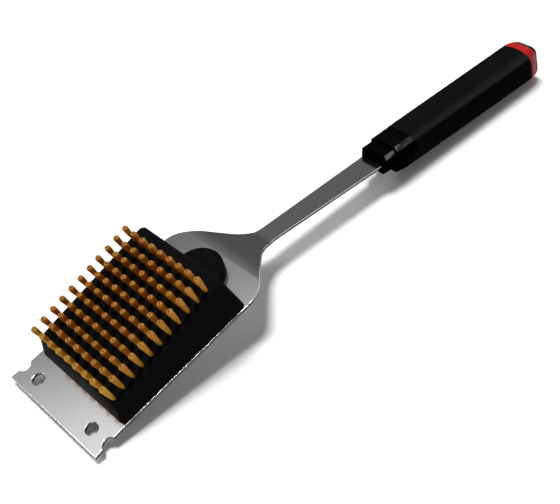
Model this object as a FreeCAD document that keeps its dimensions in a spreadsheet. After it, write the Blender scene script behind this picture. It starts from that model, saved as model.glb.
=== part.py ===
import FreeCAD, Part
import Sketcher
import math
import os

# Grill cleaning brush lying on its back: bristles up, +X towards the handle, Z up, millimetres.
# The front lower edge of the blade and the underside of the grip's end rest on z = 0.

DOC = FreeCAD.newDocument("GrillBrush")
SHEET = DOC.addObject("Spreadsheet::Sheet", "Dims")
V = FreeCAD.Vector

SIZES = [
    # blade: one bent sheet that is scraper, head plate, strap and tang
    ("origin_back", 238.35, "front edge to the origin, under the middle of the brush"),
    ("sheet_thick", 2.5, "thickness of the blade sheet"),
    ("blade_tilt", 12.13, "rise of the blade plane from the resting surface, degrees"),
    ("neck_fall", 30.0, "fall of the neck from the blade plane, degrees"),
    ("strap_fall", 13.0, "fall of the strap from the blade plane, degrees"),
    ("blade_flat", 143.0, "front edge to the first bend line"),
    ("neck_run", 31.4, "first bend line to the second"),
    ("strap_run", 109.3, "second bend line to the ferrule"),
    ("tang_run", 62.0, "length of the strap inside the handle"),
    ("bend_radius", 14.0, "mid-sheet radius of both bends"),
    ("front_half", 41.5, "half width of the front edge"),
    ("lug_half", 41.0, "half width just before the side notch"),
    ("notch_start", 6.2, "front edge to the start of the side notch"),
    ("notch_end", 14.3, "front edge to the end of the side notch"),
    ("notch_radius", 4.15, "radius of the side notch"),
    ("plate_half", 40.2, "half width of the head plate"),
    ("shoulder_x", 124.5, "start of the rounded shoulder"),
    ("shoulder_radius", 18.0, "radius of the rounded shoulder"),
    ("throat_x", 157.0, "start of the throat curve"),
    ("throat_half", 15.0, "half width at the start of the throat curve"),
    ("throat_radius", 28.0, "radius of the throat curve"),
    ("strap_x", 176.8, "plan position where the strap starts"),
    ("strap_half", 6.8, "half width of the strap at the throat"),
    ("strap_end_half", 8.9, "half width of the strap at the ferrule"),
    ("tang_x", 281.0, "plan position of the step down to the tang"),
    ("tang_half", 7.0, "half width of the tang"),
    ("tang_end_x", 345.0, "plan position beyond the tang's end"),
    ("hole_x", 10.0, "front edge to the blade holes"),
    ("hole_y", 26.0, "centre line to the blade holes"),
    ("hole_radius", 4.0, "radius of the blade holes"),
    # brush block: moulded wedge on the blade
    ("block_front", 22.8, "foot of the block's front face"),
    ("block_top_front", 25.6, "upper edge of the block's front face"),
    ("block_top_rear", 115.4, "upper edge of the block's rear face"),
    ("block_rear", 121.5, "foot of the block's rear face"),
    ("block_low", 13.8, "height of the block's front upper edge"),
    ("block_slope", 9.7, "slope of the block's top, degrees"),
    ("block_half", 39.6, "half width of the block's foot"),
    ("block_draft", 5.5, "draft of the block's sides, degrees"),
    ("block_corner", 3.6, "radius of the block's upright corners"),
    ("block_edge", 1.2, "radius of the block's upper edges"),
    ("block_wall", 4.0, "side wall of the block's underside cavity"),
    ("block_roof", 11.5, "thickness over the underside cavity"),
    ("tab_x", 120.5, "centre of the rear tab"),
    ("tab_radius", 16.0, "radius of the rear tab"),
    ("tab_high", 7.0, "height of the rear tab"),
    ("boss_radius", 4.6, "radius of the screw bosses"),
    ("boss_low", 8.0, "height of the front bosses"),
    ("boss_tall", 20.0, "height of the rear bosses"),
    ("pilot_radius", 1.6, "radius of the screw pilot holes"),
    ("pilot_deep", 5.6, "depth of the screw pilot holes"),
    # bristle field
    ("row_first", 28.4, "first bristle row from the front edge"),
    ("row_pitch", 7.8, "pitch between rows, along the sloped top"),
    ("tuft_pitch", 8.0, "pitch between tufts in a row"),
    ("row_count", 11, "number of rows"),
    ("tuft_count", 9, "tufts in each row"),
    ("socket_radius", 1.25, "radius of a tuft socket"),
    ("socket_deep", 8.0, "depth of a tuft socket"),
    ("tuft_root", 6.6, "length of a tuft inside its socket"),
    ("tuft_long", 15.3, "length of a tuft above the block"),
    ("root_radius", 1.1, "tuft radius inside its socket"),
    ("tip_radius", 2.1, "tuft radius at the free end"),
    ("tip_dome", 1.0, "height of the rounded free end"),
    ("anchor_long", 2.2, "length of an anchor staple"),
    ("anchor_thin", 0.6, "thickness of an anchor staple"),
    ("anchor_high", 1.1, "height of an anchor staple"),
    # screws through the blade into the block
    ("screw_front_x", 40.5, "front screws from the front edge"),
    ("screw_rear_x", 103.0, "rear screws from the front edge"),
    ("screw_y", 24.0, "screws from the centre line"),
    ("screw_radius", 1.5, "radius of a screw's shank"),
    ("screw_reach", 5.2, "reach of a screw into the block"),
    ("head_radius", 3.6, "radius of a countersunk head"),
    ("head_deep", 2.1, "depth of a countersunk head"),
    ("shank_hole", 1.7, "radius of the hole under the countersink"),
    ("drive_radius", 1.1, "radius of the drive recess"),
    ("drive_deep", 1.2, "depth of the drive recess"),
    # handle, measured from the ferrule's front face on the strap's middle plane
    ("nose_long", 13.0, "length of the ferrule's nose"),
    ("nose_half", 11.3, "half width of the nose"),
    ("nose_up", 8.4, "height of the nose above the strap"),
    ("nose_down", 7.3, "depth of the nose below the strap"),
    ("nose_bevel", 2.3, "bevel on the nose's front edges"),
    ("nose_facet", 2.5, "facet along the nose's long edges"),
    ("grip_half", 12.0, "half width of the handle at its front"),
    ("grip_up", 10.5, "height of the handle's front above the strap"),
    ("grip_down", 14.8, "depth of the handle's front below the strap"),
    ("grip_round", 4.0, "corner radius at the handle's front"),
    ("facet", 3.0, "facet along the ferrule's long edges"),
    ("end_half", 12.6, "half width of the handle at its end"),
    ("end_up", 14.0, "height of the handle's end above the strap"),
    ("end_down", 17.13, "depth of the handle's end below the strap"),
    ("end_round", 6.0, "corner radius at the handle's end"),
    ("end_lean", 22.0, "backward lean of the handle's end, degrees"),
    ("end_start", 180.5, "start of the rounded end, on the strap's middle plane"),
    ("end_shoulder", 16.5, "length over which the handle rounds over at its end"),
    ("end_inset", 6.5, "inset of the handle's end face from its sides"),
    ("end_steps", 8, "facets of the rounded end"),
    ("dome_centre", 150.3, "centre of the domed end lines, along the handle"),
    ("dome_low", 15.0, "centre of the domed end lines, below the strap"),
    ("grip_dome", 38.1, "radius of the grip's domed end line"),
    ("ring_dome", 44.6, "radius of the accent ring's outer line"),
    ("cap_dome", 48.4, "radius of the cap's domed end"),
    ("saddle_top", 31.0, "end of the ferrule's saddle on top"),
    ("saddle_side", 36.5, "end of the ferrule's saddle at the sides"),
    ("saddle_low", 14.0, "start of the saddle's curve below the strap"),
    ("core_half", 7.8, "half width of the handle's core"),
    ("core_up", 6.0, "height of the core above the strap"),
    ("core_down", 6.4, "depth of the core below the strap"),
    ("core_start", 13.5, "front of the core"),
    ("core_end", 172.0, "rear of the core"),
    ("plug_radius", 5.6, "radius of the end cap's plug"),
    ("plug_start", 174.0, "front of the end cap's plug"),
    ("plug_end", 194.6, "root of the end cap's plug"),
    ("chin_front", 10.0, "depth of the handle's front edge below the strap"),
    ("chin_end", 38.0, "end of the rise under the handle's front"),
    ("pin_radius", 2.0, "radius of the tang pins"),
    ("pin_one", 26.0, "first tang pin"),
    ("pin_two", 50.0, "second tang pin"),
    ("slack", 0.1, "clearance of a slip fit"),
]

NOTES = {}
for row, (alias, size, note) in enumerate(SIZES, start=1):
    SHEET.set("A%d" % row, note)
    SHEET.set("B%d" % row, str(size))
    SHEET.setAlias("B%d" % row, alias)
    NOTES[alias] = size
DOC.recompute()


class Dim:
    """A size with the spreadsheet expression that gives it."""

    def __init__(self, size, text):
        self.size = size
        self.text = text

    def __add__(self, other):
        other = dim(other)
        return Dim(self.size + other.size, "(%s + %s)" % (self.text, other.text))

    def __sub__(self, other):
        other = dim(other)
        return Dim(self.size - other.size, "(%s - %s)" % (self.text, other.text))

    def __mul__(self, other):
        other = dim(other)
        return Dim(self.size * other.size, "%s * %s" % (self.text, other.text))

    def __truediv__(self, other):
        other = dim(other)
        return Dim(self.size / other.size, "%s / (%s)" % (self.text, other.text))

    def __neg__(self):
        return Dim(-self.size, "(0 - %s)" % self.text)


def dim(item):
    """A Dim from an alias, a plain number or a Dim."""
    if isinstance(item, Dim):
        return item
    if isinstance(item, str):
        return Dim(float(NOTES[item]), "Dims.%s" % item)
    return Dim(float(item), "%.6g" % item)


def trig(name, angle):
    angle = dim(angle)
    size = getattr(math, name)(math.radians(angle.size))
    return Dim(size, "%s(%s)" % (name, angle.text))


def plane(body, role):
    for item in body.Origin.OriginFeatures:
        if item.Role == role:
            return item
    raise ValueError(role)


def bind(item, path, value):
    item.setExpression(path, dim(value).text)


def new_body(name):
    body = DOC.addObject("PartDesign::Body", name)
    body.Label = name
    return body


def new_sketch(body, name, role, shift=None, tilt=None, about=V(0, 1, 0)):
    """A sketch on one of the body's own origin planes, shifted in it and turned about an axis."""
    sketch = body.newObject("Sketcher::SketchObject", name)
    sketch.AttachmentSupport = [(plane(body, role), "")]
    sketch.MapMode = "FlatFace"
    if shift is not None:
        shift = [dim(item) for item in shift]
        angle = dim(tilt if tilt is not None else 0.0)
        turn = FreeCAD.Rotation(about, angle.size)
        where = V(shift[0].size, shift[1].size, shift[2].size)
        sketch.AttachmentOffset = FreeCAD.Placement(where, turn)
        for axis, item in zip("xyz", shift):
            if abs(item.size) > 1e-9:
                bind(sketch, "AttachmentOffset.Base.%s" % axis, item)
        if tilt is not None:
            bind(sketch, "AttachmentOffset.Rotation.Angle", angle)
    return sketch


def pin_point(sketch, geo, end, x, y):
    """Fixes one sketch point at (x, y) by dimensions bound to the sheet."""
    for kind, axis, value in (("DistanceX", -2, dim(x)), ("DistanceY", -1, dim(y))):
        if abs(value.size) < 1e-9:
            sketch.addConstraint(Sketcher.Constraint("PointOnObject", geo, end, axis))
            continue
        if value.size > 0:
            item = Sketcher.Constraint(kind, -1, 1, geo, end, value.size)
        else:
            item = Sketcher.Constraint(kind, geo, end, -1, 1, -value.size)
            value = -value
        index = sketch.addConstraint(item)
        sketch.setExpression("Constraints[%d]" % index, value.text)


def arc_between(first, last, radius, ccw):
    """The shorter arc from first to last, turning anticlockwise or clockwise."""
    chord = last - first
    half = chord.Length / 2.0
    rise = math.sqrt(max(radius * radius - half * half, 0.0))
    side = V(-chord.y, chord.x, 0).normalize()
    centre = (first + last) * 0.5 + side * (rise if ccw else -rise)
    start = math.atan2(first.y - centre.y, first.x - centre.x)
    stop = math.atan2(last.y - centre.y, last.x - centre.x)
    if not ccw:
        start, stop = stop, start
    return Part.ArcOfCircle(Part.Circle(centre, V(0, 0, 1), radius), start, stop)


def outline(sketch, points, arcs=None):
    """A closed outline through points; arcs maps an edge number to (radius, anticlockwise)."""
    arcs = arcs or {}
    count = len(points)
    spots = [V(dim(x).size, dim(y).size, 0) for x, y in points]
    first = sketch.GeometryCount
    for index in range(count):
        begin = spots[index]
        finish = spots[(index + 1) % count]
        if index in arcs:
            radius, ccw = arcs[index]
            sketch.addGeometry(arc_between(begin, finish, dim(radius).size, ccw), False)
        else:
            sketch.addGeometry(Part.LineSegment(begin, finish), False)

    def ends(index):
        if index in arcs and not arcs[index][1]:
            return 2, 1
        return 1, 2

    for index in range(count):
        after = (index + 1) % count
        sketch.addConstraint(Sketcher.Constraint(
            "Coincident", first + index, ends(index)[1], first + after, ends(after)[0]))
    for index, (x, y) in enumerate(points):
        pin_point(sketch, first + index, ends(index)[0], x, y)
    for index, (radius, ccw) in arcs.items():
        number = sketch.addConstraint(Sketcher.Constraint(
            "Radius", first + index, dim(radius).size))
        sketch.setExpression("Constraints[%d]" % number, dim(radius).text)


def circle(sketch, x, y, radius):
    x, y, radius = dim(x), dim(y), dim(radius)
    geo = sketch.addGeometry(Part.Circle(V(x.size, y.size, 0), V(0, 0, 1), radius.size), False)
    pin_point(sketch, geo, 3, x, y)
    index = sketch.addConstraint(Sketcher.Constraint("Radius", geo, radius.size))
    sketch.setExpression("Constraints[%d]" % index, radius.text)


def volume(body):
    DOC.recompute()
    return body.Shape.Volume


def pad(body, sketch, name, length, symmetric=False, flip=False):
    feature = body.newObject("PartDesign::Pad", name)
    feature.Profile = sketch
    bind(feature, "Length", length)
    feature.SideType = "Symmetric" if symmetric else "One side"
    feature.Reversed = flip
    sketch.Visibility = False
    body.Tip = feature
    DOC.recompute()
    return feature


def pocket(body, sketch, name, length, symmetric=False, flip=False):
    before = volume(body)
    feature = body.newObject("PartDesign::Pocket", name)
    feature.Profile = sketch
    bind(feature, "Length", length)
    feature.SideType = "Symmetric" if symmetric else "One side"
    feature.Reversed = flip
    body.Tip = feature
    DOC.recompute()
    after = body.Shape.Volume
    if not after < before - 1e-3:
        raise RuntimeError("%s cuts nothing" % name)
    return feature


def round_edges(body, name, keep, radius, kind="Fillet"):
    """Rounds or bevels the edges of the body that keep() accepts."""
    tip = body.Tip
    names = ["Edge%d" % (number + 1) for number, edge in enumerate(tip.Shape.Edges) if keep(edge)]
    if not names:
        raise RuntimeError("%s found no edge" % name)
    feature = body.newObject("PartDesign::%s" % kind, name)
    feature.Base = (tip, names)
    bind(feature, "Radius" if kind == "Fillet" else "Size", radius)
    body.Tip = feature
    DOC.recompute()
    return feature


def boolean(kind, name, base, tool):
    item = DOC.addObject("Part::%s" % kind, name)
    item.Base = base
    item.Tool = tool
    item.Label = name
    item.Refine = False
    return item


def join(name, items):
    item = DOC.addObject("Part::MultiFuse", name)
    item.Shapes = items
    item.Label = name
    item.Refine = False
    return item


def box(name, x, y, z, long_x, long_y, long_z):
    item = DOC.addObject("Part::Box", name)
    for prop, value in (("Length", long_x), ("Width", long_y), ("Height", long_z)):
        bind(item, prop, value)
    for axis, value in zip("xyz", (x, y, z)):
        bind(item, "Placement.Base.%s" % axis, value)
    return item


def sphere(name, x, z, radius):
    item = DOC.addObject("Part::Sphere", name)
    bind(item, "Radius", radius)
    bind(item, "Placement.Base.x", x)
    bind(item, "Placement.Base.z", z)
    return item


def place(item, x, z, angle):
    """Stands a piece at (x, 0, z) behind the front edge, turned about Y (positive falls)."""
    x, z, angle = dim(x) - "origin_back", dim(z), dim(angle)
    turn = FreeCAD.Rotation(V(0, 1, 0), angle.size)
    item.Placement = FreeCAD.Placement(V(x.size, 0, z.size), turn)
    bind(item, "Placement.Base.x", x)
    bind(item, "Placement.Base.z", z)
    bind(item, "Placement.Rotation.Angle", angle)


NODES = []


def node(item, name):
    item.Label = name
    NODES.append((name, item))


# ---------------------------------------------------------------- frames
TILT = dim("blade_tilt")
COS_T, SIN_T = trig("cos", TILT), trig("sin", TILT)
THICK = dim("sheet_thick")


def blade_to_world(x, z):
    """World x and z of a point given in the blade's frame."""
    x, z = dim(x), dim(z)
    return x * COS_T - z * SIN_T, x * SIN_T + z * COS_T


def on_blade(item):
    place(item, 0.0, 0.0, -TILT)


# middle plane of the sheet: blade, neck, strap
NECK, FALL = dim("neck_fall"), dim("strap_fall")
MID = THICK / 2
BEND_1 = (dim("blade_flat"), MID)
BEND_2 = (BEND_1[0] + dim("neck_run") * trig("cos", NECK),
          BEND_1[1] - dim("neck_run") * trig("sin", NECK))
FERRULE = (BEND_2[0] + dim("strap_run") * trig("cos", FALL),
           BEND_2[1] - dim("strap_run") * trig("sin", FALL))
TANG = (FERRULE[0] + dim("tang_run") * trig("cos", FALL),
        FERRULE[1] - dim("tang_run") * trig("sin", FALL))
HANDLE_ANGLE = dim(FALL) - TILT
HANDLE_AT = blade_to_world(FERRULE[0], FERRULE[1])


def in_handle(item):
    place(item, HANDLE_AT[0], HANDLE_AT[1], HANDLE_ANGLE)


# ---------------------------------------------------------------- blade
blade = new_body("blade")
profile = new_sketch(blade, "blade_side", "XZ_Plane")


def offset(at, angle, along, up):
    """A point along a falling line from at, and up its normal."""
    cos, sin = trig("cos", angle), trig("sin", angle)
    x = at[0] + dim(along) * cos + dim(up) * sin
    z = at[1] - dim(along) * sin + dim(up) * cos
    return x, z


BEND = dim("bend_radius")
REACH_1 = BEND * trig("tan", NECK / 2)
REACH_2 = BEND * trig("tan", (NECK - FALL) / 2)
FLAT = dim(0.0)


def run(side):
    """Corners of the sheet's side view on its upper (+1) or lower (-1) face, front to rear."""
    up = MID * side
    return [
        (dim(0.0), THICK if side > 0 else dim(0.0)),
        offset(BEND_1, FLAT, -REACH_1, up),
        offset(BEND_1, NECK, REACH_1, up),
        offset(BEND_2, NECK, -REACH_2, up),
        offset(BEND_2, FALL, REACH_2, up),
        offset(TANG, FALL, 0.0, up),
    ]


upper, lower = run(1), run(-1)
corners = lower + upper[::-1]
outline(profile, corners, {
    1: (BEND - MID, False),
    3: (BEND + MID, True),
    7: (BEND - MID, False),
    9: (BEND + MID, True),
})
pad(blade, profile, "blade_sheet", 100.0, symmetric=True)

# plan outline, seen along the blade's normal
side_points = [
    (dim(-1.0), dim("front_half") + 0.08),
    (dim("notch_start"), dim("lug_half")),
    (dim("notch_end"), dim("plate_half") + 0.2),
    (dim("shoulder_x"), dim("plate_half")),
    (dim("shoulder_x") + dim("shoulder_radius") * trig("sin", 45.0),
     dim("plate_half") - dim("shoulder_radius") * (dim(1.0) - trig("cos", 45.0))),
    (dim("throat_x"), dim("throat_half")),
    (dim("strap_x"), dim("strap_half")),
    (dim("tang_x"), dim("strap_end_half")),
    (dim("tang_x"), dim("tang_half")),
    (dim("tang_end_x"), dim("tang_half")),
]
plan_points = [(x, -y) for x, y in side_points] + [(x, y) for x, y in side_points[::-1]]
last = len(plan_points) - 2
trim = new_sketch(blade, "blade_plan", "XY_Plane")
outline(trim, [(dim(-20.0), dim(-70.0)), (dim(380.0), dim(-70.0)),
               (dim(380.0), dim(70.0)), (dim(-20.0), dim(70.0))])
outline(trim, plan_points, {
    1: ("notch_radius", False),
    3: ("shoulder_radius", True),
    5: ("throat_radius", False),
    last - 5: ("throat_radius", False),
    last - 3: ("shoulder_radius", True),
    last - 1: ("notch_radius", False),
})
pocket(blade, trim, "blade_trim", 300.0, symmetric=True)

holes = new_sketch(blade, "blade_holes", "XY_Plane")
for sign in (1, -1):
    circle(holes, "hole_x", dim("hole_y") * sign, "hole_radius")
pocket(blade, holes, "scraper_holes", 20.0, symmetric=True)

SCREWS = [("screw_front_x", 1), ("screw_front_x", -1), ("screw_rear_x", 1), ("screw_rear_x", -1)]
screw_holes = new_sketch(blade, "screw_hole_plan", "XY_Plane")
for where, sign in SCREWS:
    circle(screw_holes, where, dim("screw_y") * sign, "shank_hole")
circle(screw_holes, "tab_x", 0.0, "shank_hole")
pocket(blade, screw_holes, "screw_holes", 20.0, symmetric=True)
DOC.recompute()

# countersinks for the block screws and the tang's pin holes are cut below, as solids
countersinks = []
for number, (where, sign) in enumerate(SCREWS + [("tab_x", 0)], start=1):
    cone = DOC.addObject("Part::Cone", "countersink_%d" % number)
    bind(cone, "Radius1", dim("head_radius") + dim("slack"))
    bind(cone, "Radius2", "shank_hole")
    bind(cone, "Height", "head_deep")
    bind(cone, "Placement.Base.x", where)
    if sign:
        bind(cone, "Placement.Base.y", dim("screw_y") * sign)
    countersinks.append(cone)
pin_cuts = []
for number, where in enumerate(("pin_one", "pin_two"), start=1):
    hole = DOC.addObject("Part::Cylinder", "tang_hole_%d" % number)
    bind(hole, "Radius", dim("pin_radius") + dim("slack"))
    bind(hole, "Height", 8.0)
    spot = offset(FERRULE, FALL, where, -4.0)
    hole.Placement = FreeCAD.Placement(V(spot[0].size, 0, spot[1].size),
                                       FreeCAD.Rotation(V(0, 1, 0), FALL.size))
    bind(hole, "Placement.Base.x", spot[0])
    bind(hole, "Placement.Base.z", spot[1])
    bind(hole, "Placement.Rotation.Angle", FALL)
    pin_cuts.append(hole)
blade_cuts = join("blade_cuts", countersinks + pin_cuts)
blade_piece = boolean("Cut", "blade_piece", blade, blade_cuts)
on_blade(blade_piece)
node(blade_piece, "blade")
blade.Label = "blade_body"

# ---------------------------------------------------------------- brush block
SLOPE = dim("block_slope")
BLOCK_HIGH = dim("block_low") + (dim("block_top_rear") - dim("block_top_front")) * trig("tan", SLOPE)
block = new_body("brush_block_body")
TOP_LONG = (dim("block_top_rear") - dim("block_top_front")) / trig("cos", SLOPE)
TAPER = trig("tan", "block_draft")
FRONT_HALF = dim("block_half") - dim("block_low") * TAPER
REAR_HALF = dim("block_half") - BLOCK_HIGH * TAPER
def rounded_foot(x_one, x_two, half_one, half_two, corner):
    """Four-sided outline with rounded corners, its half width changing from x_one to x_two."""
    x_one, x_two, corner = dim(x_one), dim(x_two), dim(corner)
    half_one, half_two = dim(half_one), dim(half_two)
    points = [
        (x_one + corner, -half_one), (x_two - corner, -half_two), (x_two, -half_two + corner),
        (x_two, half_two - corner), (x_two - corner, half_two), (x_one + corner, half_one),
        (x_one, half_one - corner), (x_one, -half_one + corner),
    ]
    return points, {number: (corner, True) for number in (1, 3, 5, 7)}


foot = new_sketch(block, "block_foot", "XY_Plane", (0.0, 0.0, THICK))
outline(foot, *rounded_foot("block_front", "block_rear", "block_half", "block_half",
                            "block_corner"))
RIM = dim("block_edge")
crown = new_sketch(block, "block_crown", "XY_Plane",
                   ("block_top_front", 0.0, dim("block_low") + THICK - RIM), -SLOPE)
outline(crown, *rounded_foot(0.0, TOP_LONG, FRONT_HALF, REAR_HALF, "block_corner"))
top = new_sketch(block, "block_top", "XY_Plane",
                 ("block_top_front", 0.0, dim("block_low") + THICK), -SLOPE)
outline(top, *rounded_foot(RIM, TOP_LONG - RIM, FRONT_HALF - RIM, REAR_HALF - RIM,
                           dim("block_corner") - RIM * 0.5))
wedge = block.newObject("PartDesign::AdditiveLoft", "block_wedge")
wedge.Profile = foot
wedge.Sections = [crown, top]
wedge.Ruled = True
block.Tip = wedge
DOC.recompute()


tab = new_sketch(block, "block_tab_plan", "XY_Plane", (0.0, 0.0, THICK))
circle(tab, "tab_x", 0.0, "tab_radius")
pad(block, tab, "block_tab", "tab_high")


def tab_rim(edge):
    middle = edge.valueAt((edge.FirstParameter + edge.LastParameter) / 2.0)
    top = NOTES["sheet_thick"] + NOTES["tab_high"]
    return abs(middle.z - top) < 0.02 and middle.x > NOTES["block_rear"] + 3.0


round_edges(block, "tab_rim", tab_rim, 0.8)

# underside cavity: leaves the side walls, the rear foot and the roof that holds the tufts
ROOF = dim("block_roof")


def roof(x):
    x = dim(x)
    top = dim("block_low") + THICK + (x - dim("block_top_front")) * trig("tan", SLOPE)
    return top - ROOF / trig("cos", SLOPE)


cavity = new_sketch(block, "block_cavity", "XZ_Plane")
front_wall = dim("block_top_front") + dim("block_wall")
rear_wall = dim("tab_x") - dim("tab_radius")
outline(cavity, [
    (front_wall, dim(0.0) + 1.0), (rear_wall, dim(0.0) + 1.0),
    (rear_wall, roof(rear_wall)), (front_wall, roof(front_wall)),
])
hollow_half = REAR_HALF - dim("block_wall")
pocket(block, cavity, "block_hollow", hollow_half * 2, symmetric=True)
for name, where, high in (("front_bosses", "screw_front_x", "boss_low"),
                          ("rear_bosses", "screw_rear_x", "boss_tall")):
    bosses = new_sketch(block, name + "_plan", "XY_Plane", (0.0, 0.0, THICK))
    for sign in (1, -1):
        circle(bosses, where, dim("screw_y") * sign, "boss_radius")
    pad(block, bosses, name, high)
pilots = new_sketch(block, "pilot_plan", "XY_Plane", (0.0, 0.0, THICK))
for where, sign in SCREWS:
    circle(pilots, where, dim("screw_y") * sign, "pilot_radius")
circle(pilots, "tab_x", 0.0, "pilot_radius")
pocket(block, pilots, "pilot_holes", "pilot_deep", flip=True)

# tuft sockets, drilled square to the sloped top
TOP_ROW = (dim("row_first"),
           dim("block_low") + THICK + (dim("row_first") - dim("block_top_front")) * trig("tan", SLOPE))
FIRST_TUFT = dim("tuft_pitch") * (dim("tuft_count") - 1.0) / 2
sockets = new_sketch(block, "socket_plan", "XY_Plane", (TOP_ROW[0], 0.0, TOP_ROW[1]), -SLOPE)
for index in range(int(NOTES["tuft_count"])):
    circle(sockets, 0.0, dim("tuft_pitch") * float(index) - FIRST_TUFT, "socket_radius")
socket = pocket(block, sockets, "socket_row", "socket_deep")


def repeat(body, feature, name, axis, count, pitch):
    """Repeats a feature along one of a sketch's own axes."""
    pattern = body.newObject("PartDesign::LinearPattern", name)
    pattern.Originals = [feature]
    pattern.Direction = axis
    pattern.Mode = "Spacing"
    bind(pattern, "Occurrences", count)
    bind(pattern, "Offset", pitch)
    body.Tip = pattern
    DOC.recompute()
    return pattern


repeat(block, socket, "tuft_sockets", (sockets, ["H_Axis"]), "row_count", "row_pitch")
on_blade(block)
node(block, "brush_block")

# ---------------------------------------------------------------- bristle rows and anchors
ROW_ANGLE = -(TILT + SLOPE)


def row_at(index):
    """World position of a row's middle, on the block's sloped top."""
    along = dim("row_pitch") * float(index)
    x = TOP_ROW[0] + along * trig("cos", SLOPE)
    z = TOP_ROW[1] + along * trig("sin", SLOPE)
    return blade_to_world(x, z)


for index in range(int(NOTES["row_count"])):
    name = "bristle_row_%02d" % (index + 1)
    row = new_body(name)
    tuft = new_sketch(row, name + "_tuft", "XZ_Plane")
    cone_top = dim("tuft_long") - dim("tip_dome")
    outline(tuft, [
        (0.0, -dim("tuft_root")), ("root_radius", -dim("tuft_root")), ("root_radius", 0.0),
        ("tip_radius", cone_top), (dim("tip_radius") * 0.55, "tuft_long"), (0.0, "tuft_long"),
    ])
    turned = row.newObject("PartDesign::Revolution", name + "_turned")
    turned.Profile = tuft
    turned.ReferenceAxis = (tuft, ["V_Axis"])
    turned.Angle = 360.0
    row.Tip = turned
    DOC.recompute()
    lines = new_sketch(row, name + "_line", "XY_Plane")
    repeat(row, turned, name + "_repeat", (lines, ["V_Axis"]), "tuft_count", "tuft_pitch")
    at = row_at(index)
    place(row, at[0], at[1], ROW_ANGLE)
    bind(row, "Placement.Base.y", -FIRST_TUFT)
    node(row, name)

anchors = new_body("tuft_anchors")
staple = new_sketch(anchors, "staple_plan", "XY_Plane", (0.0, 0.0, -dim("socket_deep")))
half_long, half_thin = dim("anchor_long") / 2, dim("anchor_thin") / 2
for index in range(int(NOTES["tuft_count"])):
    middle = dim("tuft_pitch") * float(index) - FIRST_TUFT
    outline(staple, [
        (-half_thin, middle - half_long), (half_thin, middle - half_long),
        (half_thin, middle + half_long), (-half_thin, middle + half_long),
    ])
staple_row = pad(anchors, staple, "staple_row", "anchor_high")
repeat(anchors, staple_row, "staples", (staple, ["H_Axis"]), "row_count", "row_pitch")
first_at = row_at(0)
place(anchors, first_at[0], first_at[1], ROW_ANGLE)
node(anchors, "tuft_anchors")

# ---------------------------------------------------------------- block screws
screws = []
for number, (where, sign) in enumerate(SCREWS + [("tab_x", 0)], start=1):
    screw = new_body("block_screw_%d" % number)
    half = new_sketch(screw, "screw_half_%d" % number, "XZ_Plane")
    outline(half, [
        (0.0, dim("drive_deep")), ("drive_radius", "drive_deep"), ("drive_radius", 0.05),
        ("head_radius", 0.05), ("screw_radius", dim("head_deep")),
        ("screw_radius", THICK + dim("screw_reach") - 1.2), (0.3, THICK + dim("screw_reach")),
        (0.0, THICK + dim("screw_reach")),
    ])
    spun = screw.newObject("PartDesign::Revolution", "screw_turned_%d" % number)
    spun.Profile = half
    spun.ReferenceAxis = (half, ["V_Axis"])
    spun.Angle = 360.0
    screw.Tip = spun
    bind(screw, "Placement.Base.x", where)
    if sign:
        bind(screw, "Placement.Base.y", dim("screw_y") * sign)
    screws.append(screw)
DOC.recompute()
screw_set = DOC.addObject("Part::Compound", "block_screws")
screw_set.Links = screws
on_blade(screw_set)
node(screw_set, "block_screws")

# ---------------------------------------------------------------- handle
def loop(half, top, bottom, corner, rounded):
    """Rounded or facetted box section in the YZ plane, and its arcs."""
    half, top, bottom, corner = dim(half), dim(top), dim(bottom), dim(corner)
    points = [
        (-half + corner, -bottom), (half - corner, -bottom), (half, -bottom + corner),
        (half, top - corner), (half - corner, top), (-half + corner, top),
        (-half, top - corner), (-half, -bottom + corner),
    ]
    arcs = {number: (corner, True) for number in (1, 3, 5, 7)} if rounded else {}
    return points, arcs


def envelope(name, rounded, corner_front, corner_end):
    """The handle's outer shape: it tapers from its front and rounds over at its end."""
    lean = dim("end_lean")
    along = trig("cos", lean)
    sections = [
        (dim("nose_long"), dim(0.0), ("grip_half", "grip_up", "grip_down", corner_front)),
        (dim("end_start"), lean, ("end_half", dim("end_up") / along, dim("end_down") / along,
                                  corner_end)),
    ]
    if rounded:
        steps = int(NOTES["end_steps"])
        for step in range(1, steps + 1):
            angle = dim(90.0 * step / steps)
            inset = dim("end_inset") * (dim(1.0) - trig("cos", angle))
            sections.append((dim("end_start") + dim("end_shoulder") * trig("sin", angle), lean, (
                dim("end_half") - inset, dim("end_up") / along - inset,
                dim("end_down") / along - inset, dim(corner_end) - inset * 0.4)))
    body = new_body(name)
    sketches = []
    for number, (at, turn, sizes) in enumerate(sections):
        sketch = new_sketch(body, "%s_section_%d" % (name, number), "YZ_Plane", (0.0, 0.0, at),
                            -turn, V(1, 0, 0))
        points, arcs = loop(*sizes, rounded)
        outline(sketch, points, arcs)
        sketches.append(sketch)
    loft = body.newObject("PartDesign::AdditiveLoft", name + "_loft")
    loft.Profile = sketches[0]
    loft.Sections = sketches[1:]
    loft.Ruled = True
    body.Tip = loft
    DOC.recompute()
    return body


def saddle(name):
    """Side-view region of the ferrule's saddle, through the whole width."""
    body = new_body(name)
    sketch = new_sketch(body, name + "_side", "XZ_Plane")
    low = dim("nose_long") + 0.4
    outline(sketch, [
        (dim(-5.0), dim(-40.0)), (low, dim(-40.0)), (low, -dim("saddle_low")),
        ("saddle_side", 0.6), ("saddle_top", 9.0), ("saddle_top", 40.0), (dim(-5.0), 40.0),
    ], {2: (24.0, True), 3: (11.0, True)})
    pad(body, sketch, name + "_pad", 60.0, symmetric=True)
    return body


PLUG_LEVEL = (dim("end_up") - dim("end_down")) / 2
DOME_LEVEL = -dim("dome_low")
grip_skin = envelope("grip_skin", True, "grip_round", "end_round")


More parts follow.
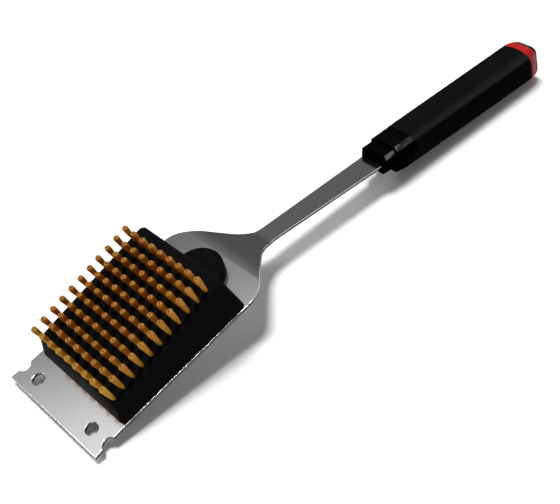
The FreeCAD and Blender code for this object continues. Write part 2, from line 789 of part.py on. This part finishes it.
def inside(name, radius):
    """Everything in front of a domed line: a long bar and a sphere."""
    bar = box(name + "_bar", -10.0, -40.0, -60.0, dim("dome_centre") + 10.0, 80.0, 120.0)
    ball = sphere(name + "_ball", "dome_centre", DOME_LEVEL, radius)
    return join(name, [bar, ball])


front_of_grip = inside("front_of_grip", "grip_dome")
front_of_ring = inside("front_of_ring", "ring_dome")
front_of_cap = inside("front_of_cap", "cap_dome")

# core: the moulded spine that holds the tang
core_bar = box("core_bar", "core_start", -dim("core_half"), -dim("core_down"),
               dim("core_end") - dim("core_start"), dim("core_half") * 2,
               dim("core_up") + dim("core_down"))
tang_slot = box("tang_slot", dim("core_start") - 1.0, -(dim("tang_half") + dim("slack")),
                -(MID + dim("slack")), dim("tang_run") - dim("core_start") + 2.0,
                (dim("tang_half") + dim("slack")) * 2, THICK + dim("slack") * 2)
core_pins = []
for number, where in enumerate(("pin_one", "pin_two"), start=1):
    bore = DOC.addObject("Part::Cylinder", "core_bore_%d" % number)
    bind(bore, "Radius", dim("pin_radius") + 0.02)
    bind(bore, "Height", 30.0)
    bind(bore, "Placement.Base.x", where)
    bind(bore, "Placement.Base.z", -15.0)
    core_pins.append(bore)
core_cuts = join("core_cuts", [tang_slot] + core_pins)
core = boolean("Cut", "handle_core", core_bar, core_cuts)
in_handle(core)
node(core, "handle_core")

pins = []
for number, where in enumerate(("pin_one", "pin_two"), start=1):
    pin = DOC.addObject("Part::Cylinder", "tang_pin_%d" % number)
    bind(pin, "Radius", "pin_radius")
    bind(pin, "Height", dim("core_up") + dim("core_down") - 0.2)
    bind(pin, "Placement.Base.x", where)
    bind(pin, "Placement.Base.z", -dim("core_down") + 0.1)
    pins.append(pin)
pin_set = DOC.addObject("Part::Compound", "tang_pins")
pin_set.Links = pins
in_handle(pin_set)
node(pin_set, "tang_pins")

# grip: satin sleeve round the core
core_room = box("core_room", dim("core_start") - 5.0, -(dim("core_half") + dim("slack")),
                -(dim("core_down") + dim("slack")), dim("core_end") - dim("core_start") + 5.5,
                (dim("core_half") + dim("slack")) * 2,
                dim("core_up") + dim("core_down") + dim("slack") * 2)
plug_room = DOC.addObject("Part::Cylinder", "plug_room")
bind(plug_room, "Radius", dim("plug_radius") + dim("slack"))
bind(plug_room, "Height", 40.0)
plug_room.Placement = FreeCAD.Placement(V(0, 0, 0), FreeCAD.Rotation(V(0, 1, 0), 90.0))
bind(plug_room, "Placement.Base.x", dim("core_end") - 1.0)
bind(plug_room, "Placement.Base.z", PLUG_LEVEL)
grip_outer = boolean("Common", "grip_outer", grip_skin, front_of_grip)
grip_saddle = saddle("grip_saddle")


def chin(name):
    """The wedge cut away under the handle's front, where its underside rises to the nose."""
    body = new_body(name)
    sketch = new_sketch(body, name + "_side", "XZ_Plane")
    front, rear = dim("nose_long") - 4.0, dim("chin_end")
    rise = (dim("grip_down") - dim("chin_front") + 0.6) / (dim("chin_end") - dim("nose_long"))
    outline(sketch, [
        (front, -40.0), (rear, -40.0), (rear, -dim("grip_down") - 0.6),
        (front, -dim("chin_front") + rise * 4.0),
    ])
    pad(body, sketch, name + "_pad", 60.0, symmetric=True)
    return body


grip_chin = chin("grip_chin")
grip_cuts = join("grip_cuts", [core_room, plug_room, grip_saddle, grip_chin])
grip = boolean("Cut", "grip_sleeve", grip_outer, grip_cuts)
in_handle(grip)
node(grip, "grip_sleeve")

# accent ring between two domed lines
ring_outer = boolean("Common", "ring_outer", grip_skin, front_of_ring)
ring_cuts = join("ring_cuts", [front_of_grip, plug_room])
ring = boolean("Cut", "accent_ring", ring_outer, ring_cuts)
in_handle(ring)
node(ring, "accent_ring")

# end cap with its plug
cap_outer = boolean("Common", "cap_outer", grip_skin, front_of_cap)
cap_shell = boolean("Cut", "cap_shell", cap_outer, front_of_ring)
plug = DOC.addObject("Part::Cylinder", "cap_plug")
bind(plug, "Radius", "plug_radius")
bind(plug, "Height", dim("plug_end") - dim("plug_start"))
plug.Placement = FreeCAD.Placement(V(0, 0, 0), FreeCAD.Rotation(V(0, 1, 0), 90.0))
bind(plug, "Placement.Base.x", "plug_start")
bind(plug, "Placement.Base.z", PLUG_LEVEL)
cap = join("end_cap", [cap_shell, plug])
in_handle(cap)
node(cap, "end_cap")

# ferrule: bevelled nose and facetted saddle in one glossy moulding
nose = new_body("ferrule_nose")
nose_plan = new_sketch(nose, "nose_section", "YZ_Plane")
nose_points, nose_arcs = loop("nose_half", "nose_up", "nose_down", "nose_facet", False)
outline(nose_plan, nose_points, nose_arcs)
pad(nose, nose_plan, "nose_block", dim("nose_long") + 1.0)


def nose_front(edge):
    middle = edge.valueAt((edge.FirstParameter + edge.LastParameter) / 2.0)
    return abs(middle.x) < 0.01


round_edges(nose, "nose_bevels", nose_front, "nose_bevel", kind="Chamfer")
collar_skin = envelope("collar_skin", False, "facet", "facet")
collar_region = saddle("collar_region")
collar_full = boolean("Common", "collar_full", collar_skin, collar_region)
collar = boolean("Cut", "collar", collar_full, chin("collar_chin"))
ferrule_solid = join("ferrule_solid", [nose, collar])
strap_slot = box("strap_slot", -1.0, -(dim("strap_end_half") + dim("slack") * 2),
                 -(MID + dim("slack")), dim("nose_long") + 1.5,
                 (dim("strap_end_half") + dim("slack") * 2) * 2, THICK + dim("slack") * 2)
core_seat = box("core_seat", dim("core_start") - dim("slack"), -(dim("core_half") + dim("slack")),
                -(dim("core_down") + dim("slack")), 60.0, (dim("core_half") + dim("slack")) * 2,
                dim("core_up") + dim("core_down") + dim("slack") * 2)
mouth = new_body("slot_mouth")
mouth_side = new_sketch(mouth, "mouth_side", "XZ_Plane")
outline(mouth_side, [
    (dim(-1.0), 0.0), (dim(0.0) + 2.2, 0.0), (dim(0.0) + 2.2, MID + dim("slack")),
    (dim(-1.0), MID + 2.8),
])
pad(mouth, mouth_side, "mouth_pad", (dim("strap_end_half") + dim("slack") * 2) * 2, symmetric=True)
ferrule_cuts = join("ferrule_cuts", [strap_slot, core_seat, mouth])
ferrule = boolean("Cut", "ferrule", ferrule_solid, ferrule_cuts)
in_handle(ferrule)
node(ferrule, "ferrule")

# ---------------------------------------------------------------- checks and export
DOC.recompute()
faults = []
for item in DOC.Objects:
    if "Invalid" in item.State or "Error" in item.State:
        faults.append("%s: %s" % (item.Name, item.State))
for name, item in NODES:
    shape = item.Shape
    if shape.isNull() or not shape.isValid() or not shape.Solids:
        faults.append("%s: bad shape" % name)
if faults:
    raise RuntimeError("; ".join(faults))

os.makedirs("parts", exist_ok=True)
low = 1e9
for name, item in NODES:
    shape = item.Shape
    edges = shape.optimalBoundingBox(True, False)
    low = min(low, edges.ZMin)
    shape.exportStep(os.path.join("parts", name + ".step"))
    print("%-16s solids %3d  volume %10.1f  x %7.1f %7.1f  y %6.1f %6.1f  z %6.2f %6.2f" % (
        name, len(shape.Solids), shape.Volume, edges.XMin, edges.XMax, edges.YMin, edges.YMax,
        edges.ZMin, edges.ZMax))
print("lowest point %.3f" % low)
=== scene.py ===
import math
import random

import bmesh
import bpy
from mathutils import Matrix, Vector


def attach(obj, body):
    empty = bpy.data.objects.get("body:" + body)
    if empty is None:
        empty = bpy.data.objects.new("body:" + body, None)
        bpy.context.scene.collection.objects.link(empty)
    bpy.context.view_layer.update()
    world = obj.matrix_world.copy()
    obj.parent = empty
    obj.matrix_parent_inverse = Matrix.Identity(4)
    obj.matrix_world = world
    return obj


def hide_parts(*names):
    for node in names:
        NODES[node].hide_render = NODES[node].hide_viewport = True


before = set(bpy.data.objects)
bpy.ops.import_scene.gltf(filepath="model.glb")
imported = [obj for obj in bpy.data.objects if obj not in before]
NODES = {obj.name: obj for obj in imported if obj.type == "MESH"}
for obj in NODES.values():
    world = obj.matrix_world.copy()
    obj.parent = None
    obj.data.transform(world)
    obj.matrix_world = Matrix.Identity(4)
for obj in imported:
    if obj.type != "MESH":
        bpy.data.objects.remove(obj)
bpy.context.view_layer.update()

# ------------------------------------------------------------------ sizes shared with the CAD
# Lengths are in metres and angles in radians.
MM = 0.001
TILT = math.radians(12.13)
SLOPE = math.radians(9.7)
ORIGIN_BACK = 238.35 * MM
SHEET_THICK = 2.5 * MM
ROW_FIRST = 28.4 * MM
ROW_PITCH = 7.8 * MM
TUFT_PITCH = 8.0 * MM
BLOCK_LOW = 13.8 * MM
BLOCK_TOP_FRONT = 25.6 * MM
TUFT_LONG = 15.3 * MM
TUFT_ROOT = 6.6 * MM
ROOT_RADIUS = 1.1 * MM
TIP_RADIUS = 2.1 * MM
ROWS = 11
TUFTS = 9


def blade_point(x, z):
    """World x and z of a point given along and above the blade."""
    return (x * math.cos(TILT) - z * math.sin(TILT) - ORIGIN_BACK,
            x * math.sin(TILT) + z * math.cos(TILT))


# ------------------------------------------------------------------ materials
# Sockets of the colour mix node, which has no unique names for them.
MIX_FIRST = 6
MIX_SECOND = 7
MIX_RESULT = 2


class Nodes:
    """A small helper that builds one procedural material in the piece's own coordinates."""

    def __init__(self, name):
        self.material = bpy.data.materials.new(name)
        self.material.use_nodes = True
        self.tree = self.material.node_tree
        self.shader = self.tree.nodes["Principled BSDF"]
        surface = self.tree.nodes.new("ShaderNodeTexCoord")
        self.coords = surface.outputs["Object"]
        self.normals = surface.outputs["Normal"]

    def fixed(self, **values):
        """Sets shader inputs that are the same over the whole surface."""
        for name, value in values.items():
            socket = name.replace("_", " ").title().replace("Ior", "IOR")
            self.shader.inputs[socket].default_value = value

    def stretched(self, scale):
        """Coordinates scaled by a different amount on each axis."""
        mapping = self.tree.nodes.new("ShaderNodeMapping")
        mapping.inputs["Scale"].default_value = scale
        self.tree.links.new(self.coords, mapping.inputs["Vector"])
        return mapping.outputs["Vector"]

    def noise(self, scale, detail=4.0, rough=0.55, vector=None):
        """Random patches; a higher scale makes them smaller."""
        node = self.tree.nodes.new("ShaderNodeTexNoise")
        node.inputs["Scale"].default_value = scale
        node.inputs["Detail"].default_value = detail
        node.inputs["Roughness"].default_value = rough
        self.tree.links.new(vector or self.coords, node.inputs["Vector"])
        return node.outputs["Fac"]

    def ramp(self, value, stops):
        """Maps a value to greys or colours given as (place, level) stops."""
        node = self.tree.nodes.new("ShaderNodeValToRGB")
        ramp = node.color_ramp
        while len(ramp.elements) < len(stops):
            ramp.elements.new(0.5)
        for element, (place, colour) in zip(ramp.elements, stops):
            element.position = place
            if isinstance(colour, (int, float)):
                colour = (colour, colour, colour)
            element.color = (*colour, 1.0)
        self.tree.links.new(value, node.inputs["Fac"])
        return node.outputs["Color"]

    def mix(self, kind, first, second, amount=0.5):
        """Blends two colours or levels."""
        node = self.tree.nodes.new("ShaderNodeMix")
        node.data_type = "RGBA"
        node.blend_type = kind
        node.inputs["Factor"].default_value = amount
        self.tree.links.new(first, node.inputs[MIX_FIRST])
        self.tree.links.new(second, node.inputs[MIX_SECOND])
        return node.outputs[MIX_RESULT]

    def bump(self, height, strength, distance):
        """Adds a bump on top of any bump the shader has already."""
        node = self.tree.nodes.new("ShaderNodeBump")
        node.inputs["Strength"].default_value = strength
        node.inputs["Distance"].default_value = distance
        self.tree.links.new(height, node.inputs["Height"])
        last = self.shader.inputs["Normal"]
        if last.is_linked:
            self.tree.links.new(last.links[0].from_socket, node.inputs["Normal"])
        self.tree.links.new(node.outputs["Normal"], last)

    def facing(self, axis, stops):
        """Levels by how nearly the surface faces along an axis, either way."""
        node = self.tree.nodes.new("ShaderNodeVectorMath")
        node.operation = "DOT_PRODUCT"
        node.inputs[1].default_value = Vector(axis).normalized()
        self.tree.links.new(self.normals, node.inputs[0])
        size = self.tree.nodes.new("ShaderNodeMath")
        size.operation = "ABSOLUTE"
        self.tree.links.new(node.outputs["Value"], size.inputs[0])
        return self.ramp(size.outputs["Value"], stops)

    def feed(self, socket, value):
        """Connects a value to an input of the shader."""
        self.tree.links.new(value, self.shader.inputs[socket])


def steel(name, light=0.57, grain=(14.0, 900.0, 900.0), rough=(0.145, 0.165), edge_shade=0.0):
    """Brushed steel; edge_shade is the level of painted shade on the sheet's side faces, or 0 for none."""
    m = Nodes(name)
    m.fixed(metallic=1.0)
    brushed = m.noise(1.0, 6.0, 0.7, m.stretched(grain))
    smudge = m.noise(26.0, 4.0, 0.6)
    scratch = m.noise(1.0, 2.0, 0.5, m.stretched((60.0, 2600.0, 2600.0)))
    tone = m.ramp(brushed, [(0.3, light * 0.96), (0.7, light * 1.03)])
    wear = m.ramp(smudge, [(0.35, (0.975, 0.975, 0.98)), (0.75, (1.0, 1.0, 1.0))])
    tone = m.mix("MULTIPLY", tone, wear, 1.0)
    # Painted shade: faces that turn away from up, the sheet's side faces, are darkened to this level.
    if edge_shade:
        side_shade = m.facing((0.0, 0.0, 1.0), [(0.10, edge_shade), (0.28, 1.0)])
        tone = m.mix("MULTIPLY", tone, side_shade, 1.0)
    m.feed("Base Color", tone)
    m.feed("Roughness", m.ramp(m.mix("MIX", smudge, brushed, 0.45),
                               [(0.35, rough[0]), (0.65, rough[1])]))
    m.bump(scratch, 0.05, 0.03 * MM)
    m.bump(brushed, 0.06, 0.03 * MM)
    return m.material


SHEEN_AXIS = (0.0, -0.6, 0.8)


def plastic(name, colour, shine, rough, grain=900.0, depth=0.06 * MM, strength=0.25, sheen=None):
    """Moulded plastic with a fine grain; sheen replaces shine by levels along SHEEN_AXIS."""
    m = Nodes(name)
    m.fixed(specular_ior_level=shine)
    if sheen:
        m.feed("Specular IOR Level", m.facing(SHEEN_AXIS, sheen))
    fine = m.noise(grain, 5.0, 0.6)
    broad = m.noise(38.0, 3.0, 0.5)
    dark = tuple(part * 0.82 for part in colour)
    light = tuple(min(1.0, part * 1.22 + 0.0006) for part in colour)
    m.feed("Base Color", m.ramp(m.mix("MIX", fine, broad, 0.6), [(0.35, dark), (0.68, light)]))
    m.feed("Roughness", m.ramp(m.mix("MIX", broad, fine, 0.35), [(0.35, rough[0]), (0.68, rough[1])]))
    m.bump(fine, strength, depth)
    return m.material


def brass(name, dark, mid, light):
    """Dull brass wire, roughly streaked along the tufts, with painted shade on faces turned along the
    tufts, such as their tips.
    """
    m = Nodes(name)
    m.fixed(metallic=0.2, specular_ior_level=0.3)
    patch = m.noise(420.0, 3.0, 0.6)
    streak = m.noise(1.0, 3.0, 0.6, m.stretched((1500.0, 1500.0, 260.0)))
    tone = m.ramp(m.mix("MIX", patch, streak, 0.5), [(0.3, dark), (0.5, mid), (0.72, light)])
    along = (-math.sin(TILT + SLOPE), 0.0, math.cos(TILT + SLOPE))
    # Painted shade: faces turned along the tufts, at the tips, are darkened.
    tip_shade = m.facing(along, [(0.35, 1.0), (0.85, 0.42)])
    m.feed("Base Color", m.mix("MULTIPLY", tone, tip_shade, 1.0))
    m.feed("Roughness", m.ramp(patch, [(0.3, 0.34), (0.7, 0.52)]))
    m.bump(streak, 0.2, 0.05 * MM)
    return m.material


SATIN = (0.30, 0.42)
BLADE_STEEL = steel("blade_brushed_steel", edge_shade=0.10)
SCREW_STEEL = steel("screw_plated_steel", 0.6, (900.0, 900.0, 900.0), (0.18, 0.3))
PIN_STEEL = steel("pin_turned_steel", 0.55, (900.0, 900.0, 60.0))
BLOCK_BLACK = plastic("block_moulded_black", (0.0034, 0.0034, 0.0035), 0.005, (0.46, 0.6))
FERRULE_BLACK = plastic("ferrule_polished_black", (0.0006, 0.0006, 0.0007), 0.022, (0.08, 0.12),
                        500.0, 0.02 * MM, 0.1, [(0.66, 0.0), (0.82, 0.04), (0.95, 0.3)])
GRIP_BLACK = plastic("grip_satin_black", (0.0031, 0.0031, 0.0033), 0.006, SATIN, 1300.0,
                     sheen=[(0.62, 0.0), (0.8, 0.03), (0.97, 0.13)])
CAP_BLACK = plastic("cap_satin_black", (0.0026, 0.0026, 0.0028), 0.012, SATIN, 1300.0)
CORE_BLACK = plastic("core_filled_black", (0.02, 0.02, 0.02), 0.4, (0.5, 0.65))
RING_RED = plastic("ring_red", (0.33, 0.013, 0.013), 0.03, SATIN, 1100.0)
# The front row is a lighter copy of the brass, a painted highlight for the more light it catches, and is a
# little yellower.
BRASS = brass("bristle_brass", (0.31, 0.105, 0.006), (0.60, 0.250, 0.016), (0.80, 0.400, 0.034))
BRASS_FRONT_PAINTED_LIGHT = brass("bristle_brass_front", (0.42, 0.19, 0.008), (0.66, 0.34, 0.018),
                    (0.82, 0.49, 0.035))


# ------------------------------------------------------------------ pieces made from the CAD's own surfaces
MERGE_DISTANCE = 0.002 * MM
FLAT_ANGLE = math.radians(1.0)
EDGE_ANGLE = math.radians(28.0)
SMOOTH_ANGLE = math.radians(35.0)


def new_object(name, data):
    """Puts a mesh, lamp or camera into the scene."""
    thing = bpy.data.objects.new(name, data)
    bpy.context.scene.collection.objects.link(thing)
    return thing


def smooth_piece(name, mesh, smooth_angle, material):
    """A smooth-shaded object from a bmesh, which is used up."""
    data = bpy.data.meshes.new(name)
    mesh.to_mesh(data)
    mesh.free()
    data.polygons.foreach_set("use_smooth", [True] * len(data.polygons))
    data.set_sharp_from_angle(angle=smooth_angle)
    data.materials.append(material)
    return new_object(name, data)


def polished(name, node, material, bevel, segments=2, clamp=True):
    """A cleaned copy of a node's surface: merged, flats rejoined, edges slightly rounded."""
    mesh = bmesh.new()
    mesh.from_mesh(NODES[node].data)
    bmesh.ops.remove_doubles(mesh, verts=mesh.verts, dist=MERGE_DISTANCE)
    bmesh.ops.dissolve_limit(mesh, angle_limit=FLAT_ANGLE, use_dissolve_boundaries=False,
                             verts=mesh.verts, edges=mesh.edges)
    piece = smooth_piece(name, mesh, SMOOTH_ANGLE, material)
    edge = piece.modifiers.new("edge", "BEVEL")
    edge.width = bevel
    edge.segments = segments
    edge.limit_method = "ANGLE"
    edge.angle_limit = EDGE_ANGLE
    edge.use_clamp_overlap = clamp
    edge.harden_normals = True
    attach(piece, "root")
    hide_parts(node)


polished("scraper_blade", "blade", BLADE_STEEL, 0.35 * MM, clamp=False)
polished("block_body", "brush_block", BLOCK_BLACK, 0.5 * MM)
polished("front_ferrule", "ferrule", FERRULE_BLACK, 0.45 * MM, 3)
polished("handle_grip", "grip_sleeve", GRIP_BLACK, 0.35 * MM)
polished("red_ring", "accent_ring", RING_RED, 0.35 * MM)
polished("handle_cap", "end_cap", CAP_BLACK, 0.35 * MM)
polished("back_screws", "block_screws", SCREW_STEEL, 0.08 * MM)

# The pieces hidden inside keep the CAD's own surface.
for node, material in (("handle_core", CORE_BLACK), ("tang_pins", PIN_STEEL),
                       ("tuft_anchors", PIN_STEEL)):
    data = NODES[node].data
    data.materials.clear()
    data.materials.append(material)


# ------------------------------------------------------------------ bristles: bundles of crimped wires
# WIRE_SCATTER is a share of the gap between neighbouring wires, and CRIMP_WAVES the fewest and most
# waves along a wire. No wire runs along WIRE_ASIDE, from which the rings of its tube are turned.
WIRE_RADIUS = 0.27 * MM
WIRE_SIDES = 5
WIRES_AROUND = 15
WIRE_STEPS = 20
WIRE_FOOT = 1.2 * MM
WIRE_SCATTER = 0.18
WIRE_UNEVEN = 0.3 * MM
WIRE_ASIDE = (0.31, 0.17, 0.05)
WIRE_SMOOTH_ANGLE = math.radians(60.0)
CRIMP_WAVES = (5.2, 6.4)
CRIMP = 0.10 * MM
SWAY = 0.04 * MM
TIP_SHORT = 0.15 * MM
TIP_ROUND = 1.3 * MM
TIP_TUCK = 0.45 * MM
HEART_SIDES = 12
FLARE_POWER = 0.85
TUFT_WANDER = 0.12 * MM
FIRST_SEED = 400


def circle(sides):
    """Evenly spaced angles of a full turn."""
    return [2.0 * math.pi * step / sides for step in range(sides)]


def skin(mesh, rings):
    """Joins rings of vertices into a closed tube."""
    sides = len(rings[0])
    for low, high in zip(rings, rings[1:]):
        for step in range(sides):
            after = (step + 1) % sides
            mesh.faces.new((low[step], low[after], high[after], high[step]))
    mesh.faces.new(rings[0][::-1])
    mesh.faces.new(rings[-1])


def tube(mesh, points):
    """One wire: a thin tube through points."""
    rings = []
    for index, point in enumerate(points):
        ahead = points[min(index + 1, len(points) - 1)] - points[max(index - 1, 0)]
        ahead.normalize()
        side = ahead.cross(Vector(WIRE_ASIDE))
        side.normalize()
        over = ahead.cross(side)
        ring = []
        for turn in circle(WIRE_SIDES):
            spot = point + (side * math.cos(turn) + over * math.sin(turn)) * WIRE_RADIUS
            ring.append(mesh.verts.new(spot))
        rings.append(ring)
    skin(mesh, rings)


def cone_radius(height):
    """Radius of a tuft's outline at a height above the block."""
    if height <= 0.0:
        return ROOT_RADIUS
    share = min(height / TUFT_LONG, 1.0)
    return ROOT_RADIUS + (TIP_RADIUS - ROOT_RADIUS) * share ** FLARE_POWER


def heart(mesh, middle, tip):
    """The dense inside of a tuft, with a dimple at its tip."""
    outline = []
    for height in (-TUFT_ROOT * 0.5, 0.0, 4.0 * MM, 8.0 * MM, 12.0 * MM, tip - TIP_ROUND):
        outline.append((height, cone_radius(height) - 1.5 * WIRE_RADIUS))
    outline += [(tip - 0.35 * MM, TIP_RADIUS - 1.9 * WIRE_RADIUS), (tip - 0.12 * MM, 1.15 * MM),
                (tip - 0.20 * MM, 0.55 * MM), (tip - 1.6 * MM, 0.42 * MM)]
    rings = []
    for height, radius in outline:
        ring = []
        for turn in circle(HEART_SIDES):
            spot = Vector((radius * math.cos(turn), radius * math.sin(turn), height))
            ring.append(mesh.verts.new(middle + spot))
        rings.append(ring)
    skin(mesh, rings)


def tuft(mesh, middle, rng):
    """One bundle: a dense heart wrapped in crimped wires."""
    tip = TUFT_LONG - TIP_SHORT
    heart(mesh, middle, tip)
    start = rng.uniform(0.0, math.pi)
    for number in range(WIRES_AROUND):
        place = number + rng.uniform(-WIRE_SCATTER, WIRE_SCATTER)
        turn = start + 2.0 * math.pi * place / WIRES_AROUND
        out = Vector((math.cos(turn), math.sin(turn), 0.0))
        across = Vector((-out.y, out.x, 0.0))
        phase = rng.uniform(0.0, 2.0 * math.pi)
        waves = rng.uniform(*CRIMP_WAVES)
        top = tip - rng.uniform(0.0, WIRE_UNEVEN)
        points = []
        for step in range(WIRE_STEPS + 1):
            share = step / WIRE_STEPS
            height = -WIRE_FOOT + (top + WIRE_FOOT) * share
            radius = cone_radius(height) - WIRE_RADIUS
            left = top - height
            if left < TIP_ROUND:
                rounding = math.sqrt(max(0.0, 1.0 - (1.0 - left / TIP_ROUND) ** 2))
                radius -= (1.0 - rounding) * TIP_TUCK
            angle = phase + share * waves * 2.0 * math.pi
            outward = out * (radius + math.cos(angle) * SWAY - SWAY)
            sideways = across * math.sin(angle) * CRIMP
            points.append(middle + outward + sideways + Vector((0.0, 0.0, height)))
        tube(mesh, points)


row_turn = Matrix.Rotation(-(TILT + SLOPE), 4, "Y")
for row in range(ROWS):
    rng = random.Random(FIRST_SEED + row)
    mesh = bmesh.new()
    for number in range(TUFTS):
        across = (number - (TUFTS - 1) / 2.0) * TUFT_PITCH
        wander_x = rng.uniform(-TUFT_WANDER, TUFT_WANDER)
        wander_y = rng.uniform(-TUFT_WANDER, TUFT_WANDER)
        tuft(mesh, Vector((wander_x, across + wander_y, 0.0)), rng)
    along = row * ROW_PITCH
    x = ROW_FIRST + along * math.cos(SLOPE)
    top = BLOCK_LOW + SHEET_THICK + (ROW_FIRST - BLOCK_TOP_FRONT) * math.tan(SLOPE)
    x, z = blade_point(x, top + along * math.sin(SLOPE))
    mesh.transform(Matrix.Translation((x, 0.0, z)) @ row_turn)
    wires = BRASS_FRONT_PAINTED_LIGHT if row == 0 else BRASS
    piece = smooth_piece("bristle_wires_%02d" % (row + 1), mesh, WIRE_SMOOTH_ANGLE, wires)
    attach(piece, "root")
    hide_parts("bristle_row_%02d" % (row + 1))

# ------------------------------------------------------------------ floor, light and camera
# The floor lies a little below z = 0, so that a shadow shows under the blade's front edge.
FLOOR_HALF = 6.0
FLOOR_DROP = 3.5 * MM
corners = [(x * FLOOR_HALF, y * FLOOR_HALF, 0.0) for x, y in ((-1, -1), (1, -1), (1, 1), (-1, 1))]
floor_data = bpy.data.meshes.new("studio_floor")
floor_data.from_pydata(corners, [], [(0, 1, 2, 3)])
floor = new_object("studio_floor", floor_data)
paper = Nodes("studio_paper")
paper.fixed(specular_ior_level=0.1, roughness=0.9)
paper.feed("Base Color", paper.ramp(paper.noise(6.0), [(0.3, 0.86), (0.7, 0.88)]))
floor_data.materials.append(paper.material)
floor.location.z = -FLOOR_DROP

# The studio walls: grey levels by direction, from the side away from WALL_AXIS (0) to it (1), with
# a bright band that the steel mirrors.
WALL_AXIS = (-0.58, -0.60, 0.55)
WALL_LEVELS = [(0.0, 0.06), (0.18, 0.075), (0.375, 0.115), (0.4965, 0.11), (0.534, 0.19),
               (0.5475, 0.29), (0.59, 0.86), (0.605, 0.95), (0.63, 0.40), (0.68, 0.05), (1.0, 0.03)]
WALL_STRENGTH = 1.6
world = bpy.data.worlds.new("studio_world")
bpy.context.scene.world = world
world.use_nodes = True
sky = world.node_tree
back = sky.nodes["Background"]
direction = sky.nodes.new("ShaderNodeTexCoord").outputs["Generated"]
towards = sky.nodes.new("ShaderNodeVectorMath")
towards.operation = "DOT_PRODUCT"
towards.inputs[1].default_value = Vector(WALL_AXIS).normalized()
shade = sky.nodes.new("ShaderNodeValToRGB")
sky.links.new(direction, towards.inputs[0])
centred = sky.nodes.new("ShaderNodeMath")
centred.operation = "MULTIPLY_ADD"
centred.inputs[1].default_value = 0.5
centred.inputs[2].default_value = 0.5
sky.links.new(towards.outputs["Value"], centred.inputs[0])
sky.links.new(centred.outputs["Value"], shade.inputs["Fac"])
sky.links.new(shade.outputs["Color"], back.inputs["Color"])
while len(shade.color_ramp.elements) < len(WALL_LEVELS):
    shade.color_ramp.elements.new(0.5)
for element, (place, level) in zip(shade.color_ramp.elements, WALL_LEVELS):
    element.position = place
    element.color = (level, level, level, 1.0)
back.inputs["Strength"].default_value = WALL_STRENGTH


def area(name, place, target, wide, power):
    """A square lamp at a place, aimed at a target; metres and watts."""
    lamp = bpy.data.lights.new(name, "AREA")
    lamp.shape = "RECTANGLE"
    lamp.size = wide
    lamp.size_y = wide
    lamp.energy = power
    lamp_object = new_object(name, lamp)
    lamp_object.location = place
    lamp_object.rotation_mode = "QUATERNION"
    lamp_object.rotation_quaternion = (Vector(target) - Vector(place)).to_track_quat("-Z", "Y")


area("key_light", (-0.22, 0.37, 2.15), (0.0, 0.0, 0.0), 0.60, 55.0)
area("side_light", (-1.40, 1.13, 1.36), (0.0, 0.0, 0.0), 0.4, 10.0)
area("glint_light", (1.10, -1.45, 1.15), (0.15, 0.0, 0.02), 0.5, 3.0)

# The camera looks down from beyond the scraper's edge, on the -Y side.
CAMERA_PLACE = (-0.35384, -0.32451, 0.41483)
CAMERA_AHEAD = (0.49474, 0.53500, -0.68484)
CAMERA_UPWARD = (0.51397, 0.45533, 0.72701)
lens = bpy.data.cameras.new("camera")
lens.sensor_width = 36.0
lens.lens = 58.1
lens.clip_start = 0.01
lens.clip_end = 50.0
camera = new_object("camera", lens)
ahead = Vector(CAMERA_AHEAD)
right = ahead.cross(Vector(CAMERA_UPWARD)).normalized()
upward = right.cross(ahead).normalized()
turn = Matrix((right, upward, -ahead.normalized())).transposed().to_4x4()
camera.matrix_world = Matrix.Translation(CAMERA_PLACE) @ turn
bpy.context.scene.camera = camera

bpy.context.scene.view_settings.view_transform = "Standard"
